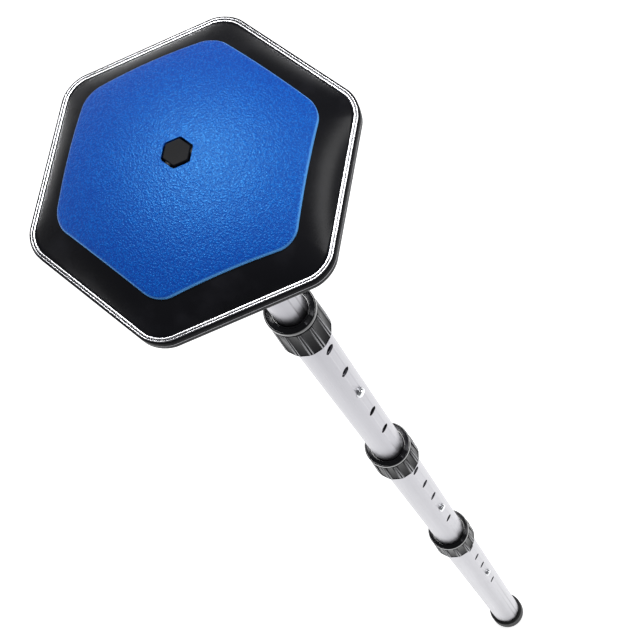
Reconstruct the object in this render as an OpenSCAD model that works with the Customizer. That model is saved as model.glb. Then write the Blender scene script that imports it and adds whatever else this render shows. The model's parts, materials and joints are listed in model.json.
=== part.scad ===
// Telescoping cover support pole with a domed hexagonal head.
// Origin: centre of the foot's flat underside. +Z up the pole. +X is the side of the index holes and snap buttons.

/* [Pole tubes] */
// Outer diameter of the lowest, widest tube
lower_tube_d = 32; // [26:1:45]
// How much narrower each tube is than the one it slides in
tube_step = 4; // [3.8:0.1:5]
// Wall of every tube
tube_wall = 1.2; // [1:0.1:1.4]
// Height of the lower collar's top above the floor
lower_height = 520; // [440:10:760]
// From the lower collar's top to the middle collar's top
middle_reach = 314; // [230:2:360]
// From the middle collar's top to the upper collar's top
upper_reach = 298; // [220:2:340]
// From the upper collar's top to the head's rim
top_reach = 178; // [130:2:220]

/* [Index holes and snap buttons] */
// Holes in each outer tube
hole_count = 5; // [5:1:6]
// Distance from one hole to the next
hole_pitch = 44; // [34:1:50]
// Diameter of an index hole
hole_d = 7.2; // [6:0.2:8.6]
// From the collar's lower edge to the middle of the first hole
first_hole = 20; // [10:1:26]
// Hole that locks the middle tube, counted from the top
middle_lock_hole = 4; // [3:1:5]
// Hole that locks the upper tube, counted from the top
upper_lock_hole = 4; // [3:1:5]
// Hole that locks the top tube, counted from the top
top_lock_hole = 3; // [2:1:4]
// Width of the channel that the holes are drilled in
channel_w = 5; // [3:0.5:6]
// Depth of that channel
channel_depth = 0.45; // [0.2:0.05:0.6]
// How far a button stands out of the outer tube
button_proud = 2.2; // [1.5:0.1:3]

/* [Twist collars] */
// Height of a collar
collar_h = 38; // [32:1:46]
// How much wider a collar is than its tube, on the diameter
collar_grow = 9; // [8.4:0.2:12]
// Number of flat panels around a collar
collar_sides = 12; // [8:1:12]

/* [Head] */
// Width of the head across its rounded corners
head_w = 160; // [130:2:210]
// Radius of the head's corners
head_corner_r = 16; // [10:1:22]
// Height of the dome above the rim
dome_rise = 20.5; // [16:0.5:32]
// Thickness of the rim flange, with the base plate
rim_t = 8; // [5:0.5:10]
// Width of the flat rim outside the dome
rim_w = 3.4; // [3.2:0.2:8]
// Width of the bright trim on the rim
trim_w = 2.6; // [1.6:0.2:3]
// Wall of the dome
dome_wall = 2.2; // [1.8:0.1:3]
// Thickness of the soft pad
pad_t = 1.6; // [1:0.1:2.5]
// Share of the dome's width that the pad covers
pad_share = 0.82; // [0.78:0.01:0.9]
// Angle of one head corner from the line of the buttons
head_angle = -11; // [-30:1:30]
// Width of the centre cap across its corners
cap_w = 13; // [12:0.5:18]
// Diameter of the lock knob
knob_d = 26; // [22:1:32]
// Height of the lock knob
knob_h = 12; // [9:1:18]

/* [Foot] */
// Diameter of the rubber foot
foot_d = 39; // [36.5:0.5:60]
// Height of the rubber foot
foot_h = 27; // [20:1:40]
// Thickness of rubber under the tube
foot_floor = 4; // [3:0.5:8]

/* [Hidden] */
$fn = 96;

// Clearances
run_gap = 0.06;      // between a sliding or turning fit and its shaft, on the radius
free_gap = 0.3;      // between faces that pass without guiding each other
eps = 0.01;          // overlap that joins two solids of one piece

// Tube radii, outside
lower_r = lower_tube_d / 2;
middle_r = lower_r - tube_step / 2;
upper_r = middle_r - tube_step / 2;
top_r = upper_r - tube_step / 2;

// Heights of the collars' tops and of the head's rim
lower_top = lower_height;
middle_top = lower_top + middle_reach;
upper_top = middle_top + upper_reach;
rim_z = upper_top + top_reach;

// Inside a collar, from its top down: lip, collet head, ferrule on the tube's end, foot ring
collar_lip_h = 4.5;
collet_head_h = 7;
collar_foot_h = 3;
tube_end_drop = collar_lip_h + collet_head_h + free_gap;
ferrule_t = 1.2;
thread_depth = 0.5;
thread_turns = 5;
collet_skirt_h = 16;
collet_slots = 6;
collet_slot_w = 1.2;
lip_bead_r = 1.9;
lip_share = 0.94;    // width of the lip, as a share of the collar's
ridge_w = 2;
ridge_t = 1.9;
ridge_proud = 0.5;
ridge_drop = 0.6;

// Snap buttons and their springs
stud_r = hole_d / 2 - free_gap;
stud_flange_r = stud_r + 0.9;
stud_flange_t = 1;
stud_round_r = 1.2;
clip_w = 6;
clip_t = 0.6;
clip_up = 6;
clip_down = 22;
clip_foot = 2;
tube_tail = 33;      // from the button down to the tube's lower end
bush_h = 12;
bush_web = 2;
bush_spigot_h = 8;
bush_wall = 1.2;

// Head
head_a = (head_w / 2 - head_corner_r) * cos(30) + head_corner_r;
dome_a = head_a - rim_w;
corner_share = head_corner_r / head_a;
plate_t = rim_t / 2;
trim_t = 0.8;
plate_inset = 0.2;
trim_inset = 0.4;
trim_a = head_a - trim_inset;
trim_corner_r = head_corner_r - trim_inset;
dome_corner = (dome_a - dome_a * corner_share) / cos(30) + dome_a * corner_share;
edge_blend = 10;     // how late the round dome turns to the hexagon, towards the rim
arc_points = 10;
flat_points = 4;
cap_hole_a = cap_w / 2 + 0.3;
screw_head_r = 5;
cap_top_t = 0.8;
cap_air = 0.2;          // kept free over and under the screw's head
pad_edge_drop = 0.5;
pad_edge_share = 0.012;
hub_r = 14;
hub_gap = 1.6;
insert_t = 1.8;
insert_h = 14;
rib_count = 6;
rib_w = 2.4;
rib_gap = 2;
rib_end_r = 0.7 * head_a;
boss_r = 3.6;
boss_at_r = 0.58 * head_a;
boss_h = 8;
base_screw_r = 1.5;
base_screw_head_r = 2.9;
base_screw_grip = 5;   // length of a base screw above the plate
boss_hole_h = 6;
head_screw_r = 2;
head_screw_l = 11;
tip_thread_r = top_r - 1.85;
tip_grooves = 7;
tip_shoulder_h = 2;
tip_plug_h = 26;
pin_r = 1.6;
pin_short = 0.2;
knob_ribs = 18;
knob_rib_w = 2.4;
knob_rib_h = 0.7;

// Foot
foot_edge_r = 4.5;
foot_top_r = 1.5;
plug_h = 14;
plug_wall = 3;
tread_depth = 1;

// The dome's rings, as shares of its half width, from the rim to the centre
dome_rings = [1, 0.98, 0.95, 0.91, 0.86, pad_share, 0.74, 0.62, 0.5, 0.37, 0.24, cap_hole_a / dome_a];
pad_rings = [for (t = dome_rings) if (t <= pad_share) t];

function index_z(collar_top, k) = collar_top - collar_h - first_hole - (k - 1) * hole_pitch;
// A rounded hexagon of half width a across its flats, as points, with more of them along its flats where wanted
function hex_ring(a, r, more = 0) = [
    for (i = [0 : 5])
        let (corner = head_angle + 60 * i, flat = corner + 30)
            each [
                for (j = [0 : arc_points - 1])
                    let (at = corner - 30 + 60 * j / (arc_points - 1))
                        [(a - r) / cos(30) * cos(corner) + r * cos(at), (a - r) / cos(30) * sin(corner) + r * sin(at)],
                for (k = [1 : 1 : more])
                    let (along = (a - r) * tan(30) * (2 * k / (more + 1) - 1))
                        [a * cos(flat) - along * sin(flat), a * sin(flat) + along * cos(flat)]
            ]
];
function skin_ring(a, r, z) = [for (p = hex_ring(a, r, flat_points)) [p[0], p[1], z]];

// Height of a ball's cap of the dome's rise and corner radius, as a share of its rise, at share s of that radius
dome_ball = (dome_corner * dome_corner + dome_rise * dome_rise) / (2 * dome_rise * dome_corner);
function cap(s) = (sqrt(dome_ball * dome_ball - s * s) - sqrt(dome_ball * dome_ball - 1)) * dome_corner / dome_rise;
function dome_share(r, t) = cap(r / dome_corner + (t - r / dome_corner) * pow(t, edge_blend));

// The ring at share t of a dome that is shrink times the full one
function dome_ring(t, shrink, z) = [
    for (p = hex_ring(dome_a * t, dome_a * t * corner_share, flat_points))
        [p[0] * shrink, p[1] * shrink, z + (dome_rise - (1 - shrink) * dome_a) * dome_share(norm(p), t)]
];
inner_shrink = 1 - dome_wall / dome_a;
function inner_dome_z(r) = rim_z + (dome_rise - dome_wall) * cap(r / inner_shrink / dome_corner);

middle_button_z = index_z(lower_top, middle_lock_hole);
upper_button_z = index_z(middle_top, upper_lock_hole);
top_button_z = index_z(upper_top, top_lock_hole);
knob_top = rim_z - rim_t - free_gap;
knob_bottom = knob_top - knob_h;
top_tube_end = knob_bottom - free_gap - tip_shoulder_h;

// A closed skin through rings of the same number of points, the last ring joined to the first
module ring_skin(rings) {
    n = len(rings[0]);
    m = len(rings);
    polyhedron(
        points = [for (ring = rings) for (p = ring) p],
        faces = [
            for (i = [0 : m - 1])
                for (j = [0 : n - 1])
                    let (a = i * n + j, b = i * n + (j + 1) % n,
                         c = ((i + 1) % m) * n + (j + 1) % n, d = ((i + 1) % m) * n + j)
                        each [[c, b, a], [d, c, a]]
        ],
        convexity = 6
    );
}

module tube(r, bottom, end, collar_top, button_z) {
    difference() {
        translate([0, 0, bottom])
            linear_extrude(height = end - bottom)
                difference() {
                    circle(r);
                    circle(r - tube_wall);
                    translate([r - channel_depth, -channel_w / 2])
                        square([channel_depth + 1, channel_w]);
                }
        if (collar_top > 0)
            for (k = [1 : hole_count])
                translate([0, 0, index_z(collar_top, k)])
                    rotate([0, 90, 0])
                        cylinder(h = r + 1, r = hole_d / 2);
        if (button_z > 0)
            translate([0, 0, button_z])
                rotate([0, 90, 0])
                    cylinder(h = r + 1, r = stud_r + run_gap);
    }
}

// A threaded ring fixed round the tube's end, which the collar screws on
module ferrule(r, top) {
    low = top - collar_h + collar_foot_h + free_gap;
    high = top - tube_end_drop;
    turn = (high - low) / (2 * thread_turns + 1);
    translate([0, 0, low])
        rotate_extrude()
            difference() {
                translate([r, 0])
                    square([ferrule_t, high - low]);
                for (i = [0 : thread_turns - 1])
                    translate([r + ferrule_t - thread_depth, (2 * i + 1) * turn])
                        square([thread_depth + 1, turn]);
            }
}

// A split sleeve that the collar squeezes on to the inner tube
module collet(r, top) {
    end = top - tube_end_drop;
    inner = r - tube_step / 2 + run_gap;
    difference() {
        rotate_extrude()
            union() {
                translate([inner, end - collet_skirt_h])
                    square([r - tube_wall - inner, collet_skirt_h + eps]);
                polygon([
                    [inner, end], [r + ferrule_t, end], [r + ferrule_t, end + collet_head_h / 2],
                    [inner + 1, end + collet_head_h], [inner, end + collet_head_h]
                ]);
            }
        for (i = [0 : collet_slots - 1])
            rotate([0, 0, (i + 0.5) * 360 / collet_slots])
                translate([inner - 1, -collet_slot_w / 2, end + 1])
                    cube([r + ferrule_t, collet_slot_w, collet_head_h]);
    }
}

// The fluted twist collar, a nut over the ferrule and the collet
module collar(r, top) {
    outer = r + collar_grow / 2;
    core = outer - ridge_proud;
    low = top - collar_h;
    bead_out = outer * lip_share;
    difference() {
        union() {
            translate([0, 0, low])
                rotate([0, 0, 180 / collar_sides])
                    cylinder(h = collar_h - 2 * lip_bead_r, r = core, $fn = collar_sides);
            for (i = [0 : collar_sides - 1])
                rotate([0, 0, (i + 0.5) * 360 / collar_sides])
                    translate([outer - ridge_t, -ridge_w / 2, low])
                        cube([ridge_t, ridge_w, collar_h - 2 * lip_bead_r - ridge_drop]);
            translate([0, 0, top - 2 * lip_bead_r - 1])
                cylinder(h = 1 + lip_bead_r, r = bead_out);
            translate([0, 0, top - lip_bead_r])
                rotate_extrude()
                    union() {
                        translate([bead_out - lip_bead_r, 0])
                            circle(r = lip_bead_r);
                        translate([r - tube_step / 2, -lip_bead_r])
                            square([bead_out - lip_bead_r - r + tube_step / 2, 2 * lip_bead_r]);
                    }
        }
        translate([0, 0, low - 1])
            cylinder(h = collar_foot_h + 2, r = r + run_gap);
        translate([0, 0, low + collar_foot_h])
            cylinder(h = collar_h - collar_foot_h - collar_lip_h, r = r + ferrule_t + run_gap);
        translate([0, 0, low])
            cylinder(h = collar_h + 1, r = r - tube_step / 2 + free_gap);
    }
}

// A plastic bush on the inner tube's lower end, which runs in the outer tube
module guide_bush(outer_r, button_z) {
    r = outer_r - tube_step / 2;
    run_r = outer_r - tube_wall - run_gap;
    bore_r = r - tube_wall - bush_wall;
    bottom = button_z - tube_tail;
    translate([0, 0, bottom])
        rotate_extrude()
            union() {
                translate([bore_r, -bush_web])
                    square([run_r - bore_r, bush_web]);
                translate([bore_r, -eps])
                    square([bush_wall, bush_spigot_h]);
                translate([r, -eps])
                    square([run_r - r, bush_h]);
            }
}

function flange_x(r) = sqrt(pow(r - tube_wall, 2) - pow(stud_flange_r, 2)) - 0.15;

// A round steel stud with a flange that stops against the inside of the tube
module snap_button(outer_r, button_z) {
    back = flange_x(outer_r - tube_step / 2) - stud_flange_t;
    length = outer_r + button_proud - back;
    translate([back, 0, button_z])
        rotate([0, 90, 0])
            rotate_extrude()
                union() {
                    square([stud_flange_r, stud_flange_t]);
                    square([stud_r, length - stud_round_r]);
                    square([stud_r - stud_round_r, length]);
                    translate([stud_r - stud_round_r, length - stud_round_r])
                        intersection() {
                            circle(r = stud_round_r);
                            square(stud_round_r + 1);
                        }
                }
}

// A bent leaf spring that pushes the stud outwards
module spring_clip(outer_r, button_z) {
    r = outer_r - tube_step / 2;
    front = flange_x(r) - stud_flange_t;
    rear = -sqrt(pow(r - tube_wall, 2) - pow(clip_w / 2, 2)) + 0.2;
    translate([0, clip_w / 2, button_z])
        rotate([90, 0, 0])
            linear_extrude(height = clip_w)
                polygon([
                    [front, clip_up], [front, -clip_down], [front - clip_foot, -clip_down - 1],
                    [rear, clip_up], [rear + clip_t, clip_up],
                    [front - clip_foot, -clip_down + 1], [front - clip_t, -clip_down + 1], [front - clip_t, clip_up]
                ]);
}

module foot_cap() {
    edge = foot_d / 2;
    color("#1d1d1f")
        difference() {
            rotate_extrude()
                union() {
                    square([edge - foot_edge_r, foot_h]);
                    translate([0, foot_edge_r])
                        square([edge, foot_h - foot_edge_r - foot_top_r]);
                    translate([0, foot_h - foot_top_r - eps])
                        square([edge - foot_top_r, foot_top_r + eps]);
                    translate([edge - foot_edge_r, foot_edge_r])
                        circle(r = foot_edge_r);
                    translate([edge - foot_top_r, foot_h - foot_top_r])
                        circle(r = foot_top_r);
                }
            translate([0, 0, foot_floor])
                cylinder(h = foot_h, r = lower_r);
            translate([0, 0, -1])
                rotate_extrude()
                    translate([foot_d * 0.24, 0])
                        square([2, 1 + tread_depth]);
        }
}

module foot_plug() {
    color("#39393c")
        translate([0, 0, foot_floor])
            difference() {
                cylinder(h = plug_h, r = lower_r - tube_wall);
                translate([0, 0, plug_wall])
                    cylinder(h = plug_h, r = lower_r - tube_wall - plug_wall);
            }
}

module lower_tube() {
    color("silver") tube(lower_r, foot_floor, lower_top - tube_end_drop, lower_top, 0);
}

module middle_tube() {
    color("silver")
        tube(middle_r, middle_button_z - tube_tail, middle_top - tube_end_drop, middle_top, middle_button_z);
}

module upper_tube() {
    color("silver")
        tube(upper_r, upper_button_z - tube_tail, upper_top - tube_end_drop, upper_top, upper_button_z);
}

module top_tube() {
    color("silver")
        difference() {
            tube(top_r, top_button_z - tube_tail, top_tube_end, 0, top_button_z);
            translate([0, 0, top_tube_end - tip_plug_h / 2])
                rotate([90, 0, 0])
                    cylinder(h = 2 * top_r + 2, r = pin_r, center = true);
        }
}

module lower_ferrule() { color("#4a4a4d") ferrule(lower_r, lower_top); }
module middle_ferrule() { color("#4a4a4d") ferrule(middle_r, middle_top); }
module upper_ferrule() { color("#4a4a4d") ferrule(upper_r, upper_top); }

module lower_collet() { color("white") collet(lower_r, lower_top); }
module middle_collet() { color("white") collet(middle_r, middle_top); }
module upper_collet() { color("white") collet(upper_r, upper_top); }

module lower_collar() { color("#161618") collar(lower_r, lower_top); }
module middle_collar() { color("#161618") collar(middle_r, middle_top); }
module upper_collar() { color("#161618") collar(upper_r, upper_top); }

module middle_guide_bush() { color("white") guide_bush(lower_r, middle_button_z); }
module upper_guide_bush() { color("white") guide_bush(middle_r, upper_button_z); }
module top_guide_bush() { color("white") guide_bush(upper_r, top_button_z); }

module middle_spring_clip() { color("#8c8f94") spring_clip(lower_r, middle_button_z); }
module upper_spring_clip() { color("#8c8f94") spring_clip(middle_r, upper_button_z); }
module top_spring_clip() { color("#8c8f94") spring_clip(upper_r, top_button_z); }

module middle_snap_button() { color("#c9cbd0") snap_button(lower_r, middle_button_z); }
module upper_snap_button() { color("#c9cbd0") snap_button(middle_r, upper_button_z); }
module top_snap_button() { color("#c9cbd0") snap_button(upper_r, top_button_z); }

// The plug in the top tube's end, with the male thread that the head and the knob screw on
module threaded_tip() {
    thread_top = rim_z - rim_t + insert_h - 1;
    crest = (thread_top - knob_bottom) / (2 * tip_grooves + 1);
    color("#2b2b2e")
        difference() {
            union() {
                translate([0, 0, top_tube_end - tip_plug_h])
                    cylinder(h = tip_plug_h + eps, r = top_r - tube_wall);
                translate([0, 0, top_tube_end])
                    cylinder(h = tip_shoulder_h, r = top_r);
                translate([0, 0, top_tube_end])
                    cylinder(h = thread_top - top_tube_end, r = tip_thread_r);
            }
            for (i = [1 : tip_grooves])
                translate([0, 0, knob_bottom + 2 * i * crest])
                    rotate_extrude()
                        translate([tip_thread_r - thread_depth, -crest / 2])
                            square([thread_depth + 1, crest]);
            translate([0, 0, top_tube_end - tip_plug_h / 2])
                rotate([90, 0, 0])
                    cylinder(h = 2 * top_r, r = pin_r, center = true);
        }
}

module tip_pin() {
    color("#b9bbc0")
        translate([0, 0, top_tube_end - tip_plug_h / 2])
            rotate([90, 0, 0])
                cylinder(h = 2 * top_r - 2 * pin_short, r = pin_r, center = true);
}

module lock_knob() {
    core = knob_d / 2 - knob_rib_h;
    color("#161618")
        difference() {
            union() {
                translate([0, 0, knob_bottom])
                    cylinder(h = knob_h, r = core);
                for (i = [0 : knob_ribs - 1])
                    rotate([0, 0, i * 360 / knob_ribs])
                        translate([core - 1, -knob_rib_w / 2, knob_bottom + 1])
                            cube([1 + knob_rib_h, knob_rib_w, knob_h - 2]);
            }
            translate([0, 0, knob_bottom - 1])
                cylinder(h = knob_h + 2, r = tip_thread_r + run_gap);
        }
}

module thread_insert() {
    color("#b59a4c")
        translate([0, 0, rim_z - rim_t])
            difference() {
                cylinder(h = insert_h, r = tip_thread_r + insert_t);
                translate([0, 0, -1])
                    cylinder(h = insert_h + 2, r = tip_thread_r + run_gap);
            }
}

// The socket under the dome, with ribs out to the bosses of the base screws
module head_hub() {
    low = rim_z - rim_t;
    floor_z = rim_z - plate_t;
    high = rim_z + dome_rise - dome_wall - hub_gap;
    function rib_top(r) = inner_dome_z(r) - rib_gap;
    color("#202022")
        difference() {
            union() {
                translate([0, 0, low])
                    cylinder(h = high - low, r = hub_r);
                for (i = [0 : rib_count - 1])
                    rotate([0, 0, head_angle + i * 360 / rib_count]) {
                        translate([0, rib_w / 2, 0])
                            rotate([90, 0, 0])
                                linear_extrude(height = rib_w)
                                    polygon([
                                        [hub_r - 1, floor_z], [rib_end_r, floor_z],
                                        [rib_end_r, rib_top(rib_end_r)], [rib_end_r * 0.7, rib_top(rib_end_r * 0.7)],
                                        [hub_r - 1, rib_top(hub_r)]
                                    ]);
                        translate([boss_at_r, 0, floor_z])
                            cylinder(h = boss_h, r = boss_r, $fn = 48);
                    }
            }
            translate([0, 0, low - 1])
                cylinder(h = insert_h + 1, r = tip_thread_r + insert_t);
            translate([0, 0, low])
                cylinder(h = high, r = head_screw_r);
            for (i = [0 : rib_count - 1])
                rotate([0, 0, head_angle + i * 360 / rib_count])
                    translate([boss_at_r, 0, floor_z - 1])
                        cylinder(h = boss_hole_h + 1, r = base_screw_r, $fn = 48);
        }
}

module base_plate() {
    color("#161618")
        difference() {
            translate([0, 0, rim_z - rim_t])
                linear_extrude(height = plate_t)
                    polygon(hex_ring(head_a - plate_inset, head_corner_r - plate_inset));
            translate([0, 0, rim_z - rim_t - 1])
                cylinder(h = plate_t + 2, r = hub_r);
            for (i = [0 : rib_count - 1])
                rotate([0, 0, head_angle + i * 360 / rib_count])
                    translate([boss_at_r, 0, rim_z - rim_t])
                        base_screw_shape(1);
        }
}

// A countersunk screw, and with more length the hole it sits in
module base_screw_shape(longer) {
    head_h = base_screw_head_r - base_screw_r;
    union() {
        cylinder(h = head_h, r1 = base_screw_head_r, r2 = base_screw_r, $fn = 48);
        cylinder(h = plate_t + base_screw_grip + longer, r = base_screw_r, $fn = 48);
    }
}

module base_screws() {
    color("#9a9ca0")
        for (i = [0 : rib_count - 1])
            rotate([0, 0, head_angle + i * 360 / rib_count])
                translate([boss_at_r, 0, rim_z - rim_t])
                    base_screw_shape(0);
}

module head_shell() {
    low = rim_z - plate_t;
    color("#161618")
        ring_skin([
            skin_ring(head_a, head_corner_r, low),
            skin_ring(head_a, head_corner_r, rim_z - trim_t / 2),
            skin_ring(trim_a, trim_corner_r, rim_z - trim_t / 2),
            skin_ring(trim_a, trim_corner_r, rim_z - trim_t),
            skin_ring(trim_a - trim_w, trim_corner_r - trim_w, rim_z - trim_t),
            skin_ring(trim_a - trim_w, trim_corner_r - trim_w, rim_z),
            for (t = dome_rings)
                dome_ring(t, 1, rim_z),
            for (i = [len(dome_rings) - 1 : -1 : 1])
                dome_ring(dome_rings[i], inner_shrink, rim_z),
            dome_ring(1, inner_shrink, rim_z),
            skin_ring(dome_a * inner_shrink, dome_a * inner_shrink * corner_share, low)
        ]);
}

module rim_trim() {
    color("silver")
        translate([0, 0, rim_z - trim_t])
            linear_extrude(height = trim_t)
                difference() {
                    polygon(hex_ring(trim_a, trim_corner_r));
                    polygon(hex_ring(trim_a - trim_w, trim_corner_r - trim_w));
                }
}

module grip_pad() {
    color("#2364c8")
        ring_skin([
            for (t = pad_rings)
                dome_ring(t, 1, rim_z),
            for (i = [len(pad_rings) - 1 : -1 : 1])
                dome_ring(pad_rings[i], 1, rim_z + pad_t),
            dome_ring(pad_share - pad_edge_share, 1, rim_z + pad_t),
            dome_ring(pad_share, 1, rim_z + pad_t - pad_edge_drop)
        ]);
}

module head_screw() {
    top = rim_z + dome_rise;
    color("#9a9ca0")
        union() {
            translate([0, 0, top - head_screw_l])
                cylinder(h = head_screw_l + eps, r = head_screw_r);
            translate([0, 0, top])
                cylinder(h = pad_t - 2 * cap_air, r = screw_head_r);
        }
}

module centre_cap() {
    top = rim_z + dome_rise;
    color("#0f0f10")
        difference() {
            translate([0, 0, top])
                rotate([0, 0, head_angle])
                    cylinder(h = pad_t + cap_top_t - cap_air, r = cap_w / 2, $fn = 6);
            translate([0, 0, top - 1])
                cylinder(h = pad_t + 1 - cap_air, r = screw_head_r + cap_air / 2);
        }
}

foot_cap();
foot_plug();
lower_tube();
middle_tube();
upper_tube();
top_tube();
lower_ferrule();
middle_ferrule();
upper_ferrule();
lower_collet();
middle_collet();
upper_collet();
lower_collar();
middle_collar();
upper_collar();
middle_guide_bush();
upper_guide_bush();
top_guide_bush();
middle_spring_clip();
upper_spring_clip();
top_spring_clip();
middle_snap_button();
upper_snap_button();
top_snap_button();
threaded_tip();
tip_pin();
lock_knob();
thread_insert();
head_hub();
base_plate();
base_screws();
head_shell();
rim_trim();
grip_pad();
head_screw();
centre_cap();
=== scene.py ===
"""Visual model of a telescoping cover support pole with a domed hexagonal head.

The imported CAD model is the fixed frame. Each CAD node that shows is replaced by a piece modelled here, at the same
place and size. Each inner node keeps its CAD shape and gets a finish. Lengths are in metres, +Z runs up the pole, and
+X is the side of the index holes and the snap buttons.
"""

import json
import logging
import math
from dataclasses import dataclass
from enum import Enum
from typing import Callable, Sequence, Union

import bmesh
import bpy
from mathutils import Matrix, Vector


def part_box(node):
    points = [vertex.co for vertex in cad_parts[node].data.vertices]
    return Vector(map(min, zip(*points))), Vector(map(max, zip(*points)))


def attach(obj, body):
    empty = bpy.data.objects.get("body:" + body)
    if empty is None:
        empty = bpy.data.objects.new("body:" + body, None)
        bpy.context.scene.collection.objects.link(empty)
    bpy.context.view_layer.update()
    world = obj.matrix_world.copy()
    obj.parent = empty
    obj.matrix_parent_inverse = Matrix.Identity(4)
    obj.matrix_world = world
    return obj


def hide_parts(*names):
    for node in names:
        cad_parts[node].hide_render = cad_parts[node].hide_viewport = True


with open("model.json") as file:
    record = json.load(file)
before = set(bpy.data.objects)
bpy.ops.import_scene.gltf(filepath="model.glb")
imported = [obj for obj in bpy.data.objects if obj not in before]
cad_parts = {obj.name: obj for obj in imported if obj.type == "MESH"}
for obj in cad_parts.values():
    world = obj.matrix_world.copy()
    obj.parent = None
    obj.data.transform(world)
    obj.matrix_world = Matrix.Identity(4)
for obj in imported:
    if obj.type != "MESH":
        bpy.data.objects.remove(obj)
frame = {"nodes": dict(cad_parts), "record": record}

MM = 0.001
FULL_TURN = 2 * math.pi
STAGES = ("lower", "middle", "upper")
Number = Union["Signal", float]
Part = Union[bmesh.types.BMVert, bmesh.types.BMEdge, bmesh.types.BMFace]
Point = tuple[float, float]
log = logging.getLogger("cover_pole")


# ---------------------------------------------------------------- the bench: modelling by operators


class Kind(Enum):
    """What a pick selects."""

    POINTS = "VERT"
    EDGES = "EDGE"
    FACES = "FACE"


def centre(part: Part) -> Vector:
    """The middle of a point, an edge or a face."""
    if isinstance(part, bmesh.types.BMVert):
        return part.co.copy()
    if isinstance(part, bmesh.types.BMEdge):
        return (part.verts[0].co + part.verts[1].co) / 2
    return part.calc_center_median()


def along(edge: bmesh.types.BMEdge) -> Vector:
    """The direction of an edge, of length 1."""
    return (edge.verts[1].co - edge.verts[0].co).normalized()


def reach(place: Vector) -> float:
    """Distance of a place from the pole's axis."""
    return math.hypot(place.x, place.y)


def azimuth(place: Vector) -> float:
    """Angle of a place round the pole, in degrees from 0 to 360."""
    return math.degrees(math.atan2(place.y, place.x)) % 360


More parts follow.
